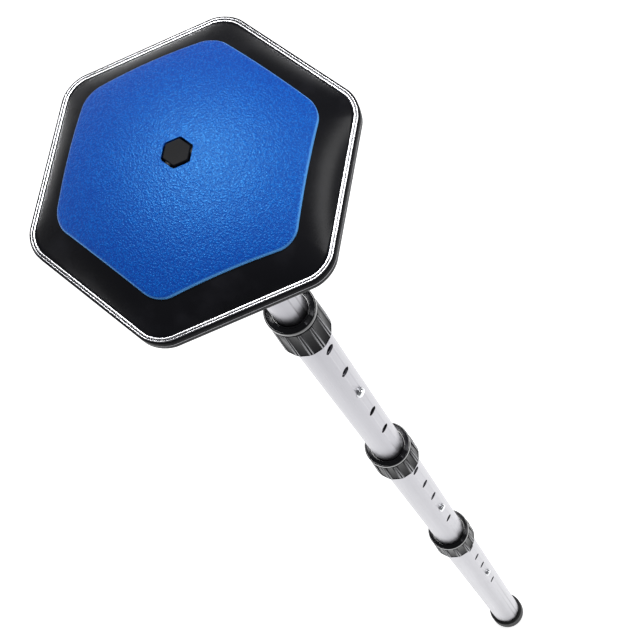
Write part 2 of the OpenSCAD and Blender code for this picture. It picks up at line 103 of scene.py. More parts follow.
class Bench:
    """One mesh on the bench. It stays in edit mode until done() or a modifier takes it off."""

    def __init__(self, name: str, add: Callable[..., object], **settings: object) -> None:
        """Adds a primitive and opens it for editing.

        Args:
            name: Name of the new object.
            add: The operator that adds the primitive.
            **settings: The operator's own settings, such as its size and place.
        """
        self.put_down()
        bpy.ops.object.select_all(action="DESELECT")
        add(**settings)
        self.obj = bpy.context.active_object
        self.obj.name = self.obj.data.name = name
        bpy.ops.object.transform_apply(location=True, rotation=True, scale=True)
        bpy.ops.object.mode_set(mode="EDIT")
        bpy.ops.mesh.select_all(action="SELECT")

    @staticmethod
    def put_down() -> None:
        """Leaves edit mode, so that another mesh can be taken up."""
        if bpy.context.mode != "OBJECT":
            bpy.ops.object.mode_set(mode="OBJECT")

    def take_up(self) -> None:
        """Opens this mesh for editing again."""
        self.put_down()
        bpy.ops.object.select_all(action="DESELECT")
        self.obj.select_set(True)
        bpy.context.view_layer.objects.active = self.obj
        bpy.ops.object.mode_set(mode="EDIT")

    def add(self, primitive: Callable[..., object], **settings: object) -> None:
        """Adds one more primitive to the same mesh."""
        bpy.ops.mesh.select_all(action="DESELECT")
        primitive(**settings)

    @classmethod
    def group(cls, name: str, primitive: Callable[..., object], each: Sequence[dict], **settings: object) -> "Bench":
        """One mesh of several primitives of a kind.

        Args:
            name: Name of the new object.
            primitive: The operator that adds each of them.
            each: The settings in which they differ, one entry for each.
            **settings: The settings that they share.

        Returns:
            The mesh, in edit mode.
        """
        bench = cls(name, primitive, **settings, **each[0])
        for own in each[1:]:
            bench.add(primitive, **settings, **own)
        return bench

    def pick(self, kind: Kind, test: Callable[[Part], bool]) -> None:
        """Selects what passes a test, and nothing else.

        Args:
            kind: Points, edges or faces.
            test: Says whether a part is picked, from its place or normal.
        """
        bpy.ops.mesh.select_mode(type=kind.value)
        bpy.ops.mesh.select_all(action="DESELECT")
        mesh = bmesh.from_edit_mesh(self.obj.data)
        parts = {Kind.POINTS: mesh.verts, Kind.EDGES: mesh.edges, Kind.FACES: mesh.faces}[kind]
        for part in [part for part in parts if test(part)]:
            part.select_set(True)
        mesh.select_flush_mode()
        bmesh.update_edit_mesh(self.obj.data)

    def pick_all(self) -> None:
        """Selects the whole mesh."""
        bpy.ops.mesh.select_all(action="SELECT")

    def move(self, x: float = 0, y: float = 0, z: float = 0) -> None:
        """Moves what is selected."""
        bpy.ops.transform.translate(value=(x, y, z))

    def scale(self, x: float, y: float, z: float = 1, about: Sequence[float] = (0, 0, 0)) -> None:
        """Scales what is selected about a place."""
        bpy.ops.transform.resize(value=(x, y, z), center_override=tuple(about))

    def extrude(self, x: float = 0, y: float = 0, z: float = 0) -> None:
        """Extrudes what is selected and moves it."""
        bpy.ops.mesh.extrude_region_move(TRANSFORM_OT_translate={"value": (x, y, z)})

    def inset(self, thickness: float, depth: float = 0, each: bool = False) -> None:
        """Insets the selected faces, together or each on its own, and sinks or raises them by depth."""
        bpy.ops.mesh.inset(thickness=thickness, depth=depth, use_individual=each, use_even_offset=True)

    def step_in(self, steps: Sequence[Point], way: float = 1) -> None:
        """Insets the selected face step by step and moves it after each.

        Args:
            steps: How far each step goes inwards and along, in millimetres.
            way: 1 to move up, -1 to move down.
        """
        for inwards, along_z in steps:
            self.inset(inwards * MM)
            self.move(z=way * along_z * MM)

    def bevel(self, width: float, segments: int = 1, corners: bool = False) -> None:
        """Bevels the selected edges, or the selected points where corners is true."""
        bpy.ops.mesh.bevel(
            offset=width, offset_type="OFFSET", segments=segments, affect="VERTICES" if corners else "EDGES"
        )

    def close(self) -> None:
        """Merges doubled points and turns every face outwards."""
        bpy.ops.mesh.select_mode(type="VERT")
        self.pick_all()
        bpy.ops.mesh.remove_doubles(threshold=0.002 * MM)
        bpy.ops.mesh.normals_make_consistent(inside=False)

    def modify(self, kind: str, **settings: object) -> None:
        """Adds a modifier with these settings and applies it."""
        bpy.ops.object.mode_set(mode="OBJECT")
        modifier = self.obj.modifiers.new(kind.title(), kind)
        for key, value in settings.items():
            setattr(modifier, key, value)
        bpy.context.view_layer.objects.active = self.obj
        bpy.ops.object.modifier_apply(modifier=modifier.name)
        bpy.ops.object.mode_set(mode="EDIT")

    def soften(self, width: float, segments: int = 2, angle: float = 32) -> None:
        """Rounds every edge that is sharper than an angle in degrees."""
        self.modify(
            "BEVEL", width=width, segments=segments, limit_method="ANGLE", angle_limit=math.radians(angle),
            harden_normals=False, use_clamp_overlap=True,
        )

    def cut(self, tool: "Bench") -> None:
        """Cuts another mesh out of this one, and throws that mesh away."""
        tool.close()
        self.take_up()
        self.modify("BOOLEAN", operation="DIFFERENCE", solver="EXACT", object=tool.obj)
        bpy.data.objects.remove(tool.obj)

    def weigh(self, name: str, weight: Callable[[Vector], float]) -> None:
        """Stores a number from 0 to 1 at every point, as a vertex group.

        Args:
            name: Name of the group.
            weight: Gives the number from the point's place.
        """
        bpy.ops.object.mode_set(mode="OBJECT")
        group = self.obj.vertex_groups.new(name=name)
        for point in self.obj.data.vertices:
            group.add([point.index], max(0.0, min(1.0, weight(point.co))), "REPLACE")
        bpy.ops.object.mode_set(mode="EDIT")

    def lift(self, height: Callable[[Vector], float], most: float) -> None:
        """Raises every point by its own height, with a weighted Displace modifier.

        Args:
            height: Gives the height from the point's place.
            most: The largest height.
        """
        self.weigh("lift", lambda place: height(place) / most)
        self.modify("DISPLACE", direction="Z", mid_level=0.0, strength=most, vertex_group="lift")
        bpy.ops.object.mode_set(mode="OBJECT")
        self.obj.vertex_groups.remove(self.obj.vertex_groups["lift"])
        bpy.ops.object.mode_set(mode="EDIT")

    def mark(self, name: str, value: Callable[[Vector], float]) -> None:
        """Stores a number at every point as an attribute that a finish can read."""
        bpy.ops.object.mode_set(mode="OBJECT")
        attribute = self.obj.data.attributes.new(name, "FLOAT", "POINT")
        attribute.data.foreach_set("value", [value(point.co) for point in self.obj.data.vertices])
        bpy.ops.object.mode_set(mode="EDIT")

    def join(self, *others: "Bench") -> None:
        """Joins other meshes to this one."""
        self.put_down()
        bpy.ops.object.select_all(action="DESELECT")
        for bench in (*others, self):
            bench.obj.select_set(True)
        bpy.context.view_layer.objects.active = self.obj
        bpy.ops.object.join()
        bpy.ops.object.mode_set(mode="EDIT")

    def copy(self, name: str) -> "Bench":
        """A copy with its own mesh, in edit mode and selected all over."""
        self.take_up()
        self.put_down()
        bpy.ops.object.duplicate(linked=False)
        twin = object.__new__(Bench)
        twin.obj = bpy.context.active_object
        twin.obj.name = twin.obj.data.name = name
        bpy.ops.object.mode_set(mode="EDIT")
        twin.pick_all()
        return twin

    def done(self, angle: float = 34) -> bpy.types.Object:
        """Finishes the mesh: smooth, apart from edges sharper than an angle in degrees.

        Args:
            angle: The sharpest angle that is shaded smooth.

        Returns:
            The finished object, at the origin.
        """
        self.take_up()
        self.put_down()
        bpy.ops.object.shade_smooth_by_angle(angle=math.radians(angle))
        return self.obj


def rounded(corners: Sequence[tuple[float, float, float]], steps: int = 4) -> list[Point]:
    """A closed profile with rounded corners.

    Args:
        corners: Each corner's distance from the axis, height and radius.
        steps: Points in each rounding, less one.

    Returns:
        The profile's points, as distance from the axis and height.
    """
    points: list[Point] = []
    for index, (r, z, radius) in enumerate(corners):
        here = Vector((r, z))
        if radius <= 0:
            points.append((r, z))
            continue
        before = (Vector(corners[index - 1][:2]) - here).normalized()
        after = (Vector(corners[(index + 1) % len(corners)][:2]) - here).normalized()
        half = before.angle(after) / 2
        middle = here + (before + after).normalized() * (radius / math.sin(half))
        start = here + before * (radius / math.tan(half)) - middle
        sweep = math.pi - 2 * half
        side = 1 if before.x * after.y - before.y * after.x < 0 else -1
        for step in range(steps + 1):
            turn = Matrix.Rotation(side * sweep * step / steps, 2)
            points.append(tuple(middle + turn @ start))
    return points


def turned(name: str, profile: Sequence[Point], sides: int = 96) -> Bench:
    """A shape turned round the pole's axis from a closed profile.

    Args:
        name: Name of the new object.
        profile: Points round the profile, as distance from the axis and height.
        sides: Steps round the axis.

    Returns:
        The closed mesh, in edit mode.
    """
    bench = Bench(name, bpy.ops.mesh.primitive_plane_add, size=MM)
    bpy.ops.mesh.select_mode(type="VERT")
    bpy.ops.mesh.merge(type="CENTER")
    bench.move(profile[0][0], 0, profile[0][1])
    for (r, z), (next_r, next_z) in zip(profile, [*profile[1:], profile[0]]):
        bpy.ops.mesh.extrude_vertices_move(TRANSFORM_OT_translate={"value": (next_r - r, 0, next_z - z)})
    bench.pick_all()
    bpy.ops.mesh.spin(steps=sides, angle=FULL_TURN, center=(0, 0, 0), axis=(0, 0, 1))
    bench.close()
    return bench


def bore(name: str, r: float, low: float, high: float) -> Bench:
    """A cutter on the axis that passes right through from low to high."""
    below, above = low - MM, high + MM
    return turned(name, [(0, below), (r, below), (r, above), (0, above)])


# ---------------------------------------------------------------- node boards: materials


class Signal:
    """A node's output that Python's arithmetic works on, with a Math node for each operation."""

    def __init__(self, board: "Board", socket: bpy.types.NodeSocket) -> None:
        """Wraps an output socket of a board."""
        self.board = board
        self.socket = socket

    def __add__(self, other: Number) -> "Signal":
        """This plus other."""
        return self.board.math("ADD", self, other)

    def __radd__(self, other: Number) -> "Signal":
        """Other plus this."""
        return self.board.math("ADD", other, self)

    def __sub__(self, other: Number) -> "Signal":
        """This less other."""
        return self.board.math("SUBTRACT", self, other)

    def __rsub__(self, other: Number) -> "Signal":
        """Other less this."""
        return self.board.math("SUBTRACT", other, self)

    def __mul__(self, other: Number) -> "Signal":
        """This times other."""
        return self.board.math("MULTIPLY", self, other)

    def __rmul__(self, other: Number) -> "Signal":
        """Other times this."""
        return self.board.math("MULTIPLY", other, self)


class Board:
    """The nodes of one material."""

    def __init__(self, name: str) -> None:
        """Makes an empty material of that name."""
        self.material = bpy.data.materials.new(name)
        self.material.use_nodes = True
        self.tree = self.material.node_tree
        self.tree.nodes.clear()

    def node(self, kind: str, settings: dict, sockets: dict, out: Union[str, int] = 0) -> Signal:
        """Adds a node.

        Args:
            kind: The node's type.
            settings: Its own settings, which are set first; "stops" are a ramp's places and colours.
            sockets: A value or a signal for each of its inputs, by name or number.
            out: The output that is handed back.

        Returns:
            The chosen output.
        """
        node = self.tree.nodes.new(kind)
        for key, value in settings.items():
            if key == "stops":
                ramp = node.color_ramp.elements
                while len(ramp) < len(value):
                    ramp.new(0.5)
                for stop, (position, colour) in zip(ramp, value):
                    stop.position, stop.color = position, colour
            else:
                setattr(node, key, value)
        for key, value in sockets.items():
            if isinstance(value, Signal):
                self.tree.links.new(value.socket, node.inputs[key])
            else:
                node.inputs[key].default_value = value
        return Signal(self, node.outputs[out])

    def math(self, operation: str, first: Number, second: Number) -> Signal:
        """One Math node on two numbers."""
        return self.node("ShaderNodeMath", {"operation": operation}, {0: first, 1: second})

    def attribute(self, name: str) -> Signal:
        """A number that was marked on the mesh."""
        return self.node("ShaderNodeAttribute", {"attribute_name": name}, {}, "Fac")

    def place(self, stretch: Sequence[float] = (1, 1, 1)) -> Signal:
        """The place on the object, in metres, with each axis stretched."""
        coords = self.node("ShaderNodeTexCoord", {}, {}, "Object")
        return self.node("ShaderNodeVectorMath", {"operation": "MULTIPLY"}, {0: coords, 1: tuple(stretch)})

    def noise(self, stretch: Sequence[float], detail: float = 2, distortion: float = 0) -> Signal:
        """A noise from 0 to 1, whose scale along each axis is in bumps per metre."""
        return self.node(
            "ShaderNodeTexNoise", {}, {"Vector": self.place(stretch), "Scale": 1.0, "Detail": detail,
                                       "Distortion": distortion}, "Fac"
        )

    def ramp(self, value: Signal, low: float, high: float) -> Signal:
        """Spreads the values between low and high over 0 to 1, smoothly."""
        return self.node(
            "ShaderNodeMapRange", {"interpolation_type": "SMOOTHSTEP"}, {0: value, 1: low, 2: high, 3: 0.0, 4: 1.0}
        )

    def blend(self, share: Number, first: Union[Signal, tuple], second: Union[Signal, tuple]) -> Signal:
        """A colour from first to second, by share."""
        return self.node("ShaderNodeMix", {"data_type": "RGBA"}, {0: share, 6: first, 7: second}, 2)

    def bump(self, height: Signal, strength: float, distance: float) -> Signal:
        """A normal from a height, where a height of 1 stands for a distance in metres."""
        return self.node("ShaderNodeBump", {}, {"Height": height, "Strength": strength, "Distance": distance})

    def surface(self, sockets: dict) -> bpy.types.Material:
        """Ends the board with a Principled shader.

        Args:
            sockets: A value or a signal for each of the shader's inputs.

        Returns:
            The finished material.
        """
        shader = self.node("ShaderNodeBsdfPrincipled", {}, sockets)
        end = self.tree.nodes.new("ShaderNodeOutputMaterial")
        self.tree.links.new(shader.socket, end.inputs["Surface"])
        return self.material


def rgb(red: float, green: float, blue: float) -> tuple[float, float, float, float]:
    """A colour as a socket takes it."""
    return (red, green, blue, 1.0)


@dataclass(frozen=True)
class Finish:
    """What all finishes share: a name, a colour and a roughness."""

    name: str
    colour: tuple[float, float, float]
    roughness: float

    def material(self) -> bpy.types.Material:
        """The finish as a material, made once."""
        made = bpy.data.materials.get(self.name)
        return made if made else self.build(Board(self.name))

    def build(self, board: Board) -> bpy.types.Material:
        """Builds the material's nodes on a board."""
        raise NotImplementedError


@dataclass(frozen=True)
class GlossPlastic(Finish):
    """Glossy injection-moulded plastic: a faint ripple, fine hazy scuffs, and a painted highlight on marked ridges, a
    paler colour on the surface.
    """

    haze: float = 0.10
    ripple: float = 0.05
    specular: float = 0.02
    # colour of the painted highlight on marked ridges, paler than the plastic, for the bright lines that ridges catch
    painted_highlight: tuple[float, float, float] = (0.42, 0.42, 0.44)
    coat_ior: float = 1.5
    coat_roughness: float = 0.12

    def build(self, board: Board) -> bpy.types.Material:
        """Builds the material's nodes on a board."""
        cloud = board.noise((60, 60, 60), 3)
        scuff = board.ramp(board.noise((1400, 300, 1400), 3, 0.6), 0.56, 0.72)
        wave = board.noise((260, 260, 260), 1)
        base = rgb(*self.colour)
        dusty = rgb(*(2.4 * channel + 0.004 for channel in self.colour))
        tone = board.blend(board.ramp(cloud, 0.45, 0.8) * 0.6, base, dusty)
        # painted highlight: where the mesh marks a ridge, the colour turns paler to stand in for a bright reflection
        ridge = board.attribute("ridge")
        return board.surface({
            "Base Color": board.blend(ridge, tone, rgb(*self.painted_highlight)),
            "Coat Weight": board.attribute("lip"),
            "Coat Roughness": self.coat_roughness,
            "Coat IOR": self.coat_ior,
            "Roughness": self.roughness + cloud * self.haze + scuff * 0.05,
            "Specular IOR Level": self.specular,
            "Normal": board.bump(wave + scuff * 0.1, self.ripple, 0.1 * MM),
        })


@dataclass(frozen=True)
class MattPlastic(Finish):
    """Moulded plastic with a fine spark-eroded grain."""

    grain: float = 0.35
    grain_scale: float = 2200
    specular: float = 0.4

    def build(self, board: Board) -> bpy.types.Material:
        """Builds the material's nodes on a board."""
        grain = board.noise((self.grain_scale,) * 3, 2)
        cloud = board.noise((45, 45, 45), 3)
        base = rgb(*self.colour)
        pale = rgb(*(min(1.0, 1.5 * channel + 0.006) for channel in self.colour))
        return board.surface({
            "Base Color": board.blend(board.ramp(cloud, 0.4, 0.75) * 0.5 + grain * 0.25, base, pale),
            "Roughness": self.roughness + cloud * 0.08 - grain * 0.06,
            "Specular IOR Level": self.specular,
            "Normal": board.bump(grain, self.grain, 0.06 * MM),
        })


@dataclass(frozen=True)
class MouldedRubber(Finish):
    """Dense black rubber: a dull fine grain, pale bloom and scuffs near the floor."""

    bloom: tuple[float, float, float] = (0.075, 0.074, 0.072)
    scuff_height: float = 8 * MM

    def build(self, board: Board) -> bpy.types.Material:
        """Builds the material's nodes on a board."""
        grain = board.noise((1500, 1500, 1500), 3)
        cloud = board.noise((70, 70, 110), 4, 0.4)
        height = board.node("ShaderNodeSeparateXYZ", {}, {"Vector": board.place()}, "Z")
        low = 1 - board.ramp(height, 0.0, self.scuff_height)
        worn = board.ramp(cloud + low * 0.22, 0.52, 0.82)
        return board.surface({
            "Base Color": board.blend(worn, rgb(*self.colour), rgb(*self.bloom)),
            "Roughness": self.roughness + worn * 0.12,
            "Specular IOR Level": 0.35,
            "Normal": board.bump(grain + cloud * 0.6, 0.4, 0.12 * MM),
        })


@dataclass(frozen=True)
class SatinMetal(Finish):
    """Drawn or turned metal: fine lines along one axis, cloudy brightness, and painted shade, a dark colour in its
    marked grooves.
    """

    lines: tuple[float, float, float] = (2400, 2400, 9)
    depth: float = 0.12
    spread: float = 0.12
    # colour of the painted shade in marked grooves
    painted_shade: tuple[float, float, float] = (0.02, 0.02, 0.022)

    def build(self, board: Board) -> bpy.types.Material:
        """Builds the material's nodes on a board."""
        drawn = board.noise(self.lines, 3)
        cloud = board.noise((30, 30, 8), 3, 0.5)
        rub = board.ramp(board.noise((500, 500, 60), 4, 1.2), 0.6, 0.75)
        base = rgb(*self.colour)
        dull = rgb(*(0.86 * channel for channel in self.colour))
        tone = board.blend(board.ramp(cloud, 0.35, 0.75) * 0.5 + drawn * 0.4, base, dull)
        # painted shade: the groove mark turns the colour dark where shade falls in grooves
        groove = board.attribute("groove")
        return board.surface({
            "Base Color": board.blend(groove, tone, rgb(*self.painted_shade)),
            "Metallic": 1.0,
            "Roughness": self.roughness + drawn * self.spread + rub * 0.05,
            "Normal": board.bump(drawn + rub * 0.3, self.depth, 0.04 * MM),
        })


@dataclass(frozen=True)
class PebbledPad(Finish):
    """Soft moulded skin with a pebbled, wormy grain, and a paler rounded edge."""

    edge: tuple[float, float, float] = (0.12, 0.42, 0.95)
    deep: tuple[float, float, float] = (0.001, 0.035, 0.33)
    pebbles: float = 1150

    def build(self, board: Board) -> bpy.types.Material:
        """Builds the material's nodes on a board."""
        wander = board.node(
            "ShaderNodeTexNoise", {}, {"Vector": board.place(), "Scale": self.pebbles * 0.7, "Detail": 1.0}, "Color"
        )
        bent = board.node("ShaderNodeVectorMath", {"operation": "MULTIPLY"}, {0: wander, 1: (0.0011,) * 3})
        where = board.node("ShaderNodeVectorMath", {"operation": "ADD"}, {0: board.place(), 1: bent})
        cells = board.node(
            "ShaderNodeTexVoronoi", {"feature": "SMOOTH_F1"}, {"Vector": where, "Scale": self.pebbles,
                                                               "Smoothness": 0.7}, "Distance"
        )
        worm = board.noise((self.pebbles * 1.1,) * 3, 2, 0.9)
        height = (1 - cells) * 0.7 + worm * 0.7
        cloud = board.noise((26, 26, 26), 3, 0.3)
        edge = board.attribute("edge")
        valley = 1 - board.ramp(height, 0.66, 0.9)
        skin = board.blend(valley * 0.9, rgb(*self.colour), rgb(*self.deep))
        tone = board.blend(board.ramp(cloud, 0.35, 0.8) * 0.25, skin, rgb(*self.deep))
        return board.surface({
            "Base Color": board.blend(edge, tone, rgb(*self.edge)),
            "Roughness": self.roughness + valley * 0.12 + cloud * 0.06,
            "Specular IOR Level": 1.0,
            "Specular Tint": rgb(0.16, 0.60, 1.0),
            "Sheen Weight": 0.02,
            "Sheen Roughness": 0.4,
            "Normal": board.bump(height, 0.8, 0.3 * MM),
        })


FINISHES: dict[str, Finish] = {
    "foot_rubber": MouldedRubber("foot_rubber_finish", (0.016, 0.016, 0.017), 0.62),
    "inner_plastic": MattPlastic("inner_plastic_finish", (0.045, 0.045, 0.048), 0.5),
    "aluminium": SatinMetal("satin_aluminium_finish", (0.43, 0.425, 0.455), 0.24),
    "natural_plastic": MattPlastic("natural_plastic_finish", (0.78, 0.76, 0.70), 0.42, 0.15),
    "collar_gloss": GlossPlastic("collar_gloss_finish", (0.006, 0.006, 0.0075), 0.14),
    "spring_steel": SatinMetal("spring_steel_finish", (0.52, 0.53, 0.56), 0.26, (300, 3000, 3000)),
    "button_steel": SatinMetal("button_steel_finish", (0.80, 0.81, 0.83), 0.16, (3000, 900, 900), 0.06),
    "tip_plastic": MattPlastic("tip_plastic_finish", (0.03, 0.03, 0.032), 0.5),
    "brass": SatinMetal("brass_finish", (0.72, 0.53, 0.22), 0.22, (900, 900, 3000)),
    "head_gloss": GlossPlastic("head_gloss_finish", (0.004, 0.004, 0.0055), 0.22, coat_ior=1.22, coat_roughness=0.34),
    "screw_steel": SatinMetal("zinc_screw_finish", (0.62, 0.63, 0.65), 0.28, (1200, 1200, 1200)),
    "rim_bright": SatinMetal("bright_rim_finish", (0.60, 0.60, 0.62), 0.18, (1500, 1500, 1500), 0.05, 0.05),
    "pad_blue": PebbledPad("blue_pad_finish", (0.002, 0.10, 0.50), 0.30),
    "cap_matt": MattPlastic("cap_matt_finish", (0.009, 0.009, 0.01), 0.6, 0.3, specular=0.12),
}


class Record:
    """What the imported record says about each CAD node."""

    def __init__(self, packed: dict) -> None:
        """Reads the bodies and material slots of the nodes."""
        self.body = {node: body for body, nodes in packed["behaviour"]["bodies"].items() for node in nodes}
        self.slot = {row["node"]: row["material_slot"] for row in packed["subparts"]}

    def dress(self, piece: bpy.types.Object, node: str) -> bpy.types.Object:
        """Gives a piece the finish, slot and body of a CAD node, and hides that node.

        Args:
            piece: The finished piece.
            node: The CAD node that it stands for.

        Returns:
            The same piece.
        """
        self.paint(piece, node)
        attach(piece, self.body[node])
        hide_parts(node)
        log.info("%s: %d faces, rides on %s", piece.name, len(piece.data.polygons), self.body[node])
        return piece

    def paint(self, piece: bpy.types.Object, node: str) -> None:
        """Gives a piece the finish of a CAD node's material slot."""
        piece.data.materials.clear()
        piece.data.materials.append(FINISHES[self.slot[node]].material())


RECORD = Record(frame["record"])


# ---------------------------------------------------------------- the pole


@dataclass
class Foot:
    """The rubber foot on the pole's lower end."""

    edge_r: float = 4.5 * MM
    top_r: float = 1.5 * MM
    floor: float = 4 * MM
    waist: float = 0.35 * MM
    tread: float = 1.0 * MM
    tread_rings: int = 3

    def build(self) -> None:
        """Turns the foot: a rounded cup with a slight waist and a ringed tread."""
        _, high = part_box("foot_cap")
        _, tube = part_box("lower_tube")
        r, top, bore = high.x, high.z, tube.y
        corners = [(0, self.floor, 0), (bore, self.floor, 0), (bore, top, 0.3 * MM), (r, top, self.top_r)]
        corners += [(r - self.waist, top * 0.72, 2 * MM), (r - self.waist, top * 0.62, 2 * MM)]
        corners += [(r, top * 0.5, 2 * MM), (r, 0, self.edge_r)]
        step = (r - self.edge_r) / (self.tread_rings + 0.6)
        for ring in range(self.tread_rings):
            outer = r - self.edge_r - ring * step
            corners += [(outer, 0, 0), (outer - 0.4 * MM, self.tread, 0)]
            corners += [(outer - 2.0 * MM, self.tread, 0), (outer - 2.4 * MM, 0, 0)]
        corners += [(0, 0, 0)]
        bench = turned("foot_cap_moulded", rounded(corners), 96)
        RECORD.dress(bench.done(28), "foot_cap")


@dataclass
class Tube:
    """One drawn aluminium tube, with a channel down the button side and index holes in the channel."""

    stage: str
    wall: float = 1.2 * MM
    channel_w: float = 5 * MM
    channel_depth: float = 0.45 * MM
    hole_d: float = 7.2 * MM
    button_hole_d: float = 6.72 * MM
    hole_count: int = 5
    hole_pitch: float = 44 * MM
    first_hole: float = 20 * MM
    sides: int = 144
    hole_sides: int = 40
    # strength of the painted shade along the channel's edges
    painted_shade: float = 0.55

    def hole_heights(self) -> list[float]:
        """Heights of the index holes, from the collar down; the top tube has none."""
        if self.stage == "top":
            return []
        low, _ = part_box(f"{self.stage}_collar")
        return [low.z - self.first_hole - k * self.hole_pitch for k in range(self.hole_count)]

    def button_height(self) -> list[float]:
        """Height of the hole for this tube's own snap button; the lowest tube has none."""
        if self.stage == "lower":
            return []
        low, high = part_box(f"{self.stage}_snap_button")
        return [(low.z + high.z) / 2]

    def build(self) -> None:
        """Draws the tube, presses its channel in and drills its holes."""
        node = f"{self.stage}_tube"
        low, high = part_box(node)
        r = high.y
        bench = Bench(
            f"{node}_drawn", bpy.ops.mesh.primitive_cylinder_add, vertices=self.sides, radius=r,
            depth=high.z - low.z, location=(0, 0, (low.z + high.z) / 2), end_fill_type="NOTHING",
        )
        half = self.channel_w / 2
        bench.pick(Kind.POINTS, lambda point: point.co.x > 0 and abs(point.co.y) < half)
        bench.scale(0, 1, 1, about=(r - self.channel_depth, 0, 0))
        bench.modify("SOLIDIFY", thickness=self.wall, offset=-1, use_even_offset=True)
        # painted shade along both edges of the channel
        bench.mark("groove", lambda place: self._channel_edge_shade(place, r))
        self._drill(bench, r)
        RECORD.dress(bench.done(26), node)

    def _channel_edge_shade(self, place: Vector, r: float) -> float:
        """How much painted shade the tube gets at a place: dark along both edges of the channel, where shade falls,
        and none elsewhere.
        """
        edge = abs(abs(place.y) - self.channel_w / 2)
        return self.painted_shade if place.x > r * 0.5 and edge < 0.45 * MM else 0.0

    def _drill(self, bench: Bench, r: float) -> None:
        """Drills the index holes and the button's hole through the channel's side of the wall."""
        holes = [(z, self.hole_d) for z in self.hole_heights()]
        holes += [(z, self.button_hole_d) for z in self.button_height()]
        drill = Bench.group(
            f"{self.stage}_drill", bpy.ops.mesh.primitive_cylinder_add,
            [dict(radius=width / 2, location=(r * 0.8, 0, z)) for z, width in holes],
            vertices=self.hole_sides, depth=r, rotation=(0, math.pi / 2, 0), end_fill_type="NGON",
        )
        bench.cut(drill)


@dataclass
class SnapButtons:
    """The three round studs that lock the tubes, one turned for each tube."""

    radius: float = 3.3 * MM
    flange: float = 4.2 * MM
    flange_t: float = 1.0 * MM
    round_r: float = 1.1 * MM

    def build(self) -> None:
        """Turns a stud for each tube, lays it along +X and puts it at its hole."""
        for stage in ("middle", "upper", "top"):
            node = f"{stage}_snap_button"
            low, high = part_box(node)
            length = high.x - low.x
            profile = rounded([
                (0, 0, 0), (self.flange, 0, 0.2 * MM), (self.flange, self.flange_t, 0.2 * MM),
                (self.radius, self.flange_t, 0), (self.radius, length - 0.25 * MM, self.round_r),
                (0, length, 0),
            ])
            bench = turned(f"{node}_turned", profile, 48)
            bench.pick_all()
            bpy.ops.transform.rotate(value=-math.pi / 2, orient_axis="Y", center_override=(0, 0, 0))
            mesh = bmesh.from_edit_mesh(bench.obj.data)
            if max(vert.co.x for vert in mesh.verts) < length / 2:
                bpy.ops.transform.rotate(value=math.pi, orient_axis="Y", center_override=(0, 0, 0))
            bench.move(low.x, 0, (low.z + high.z) / 2)
            RECORD.dress(bench.done(40), node)


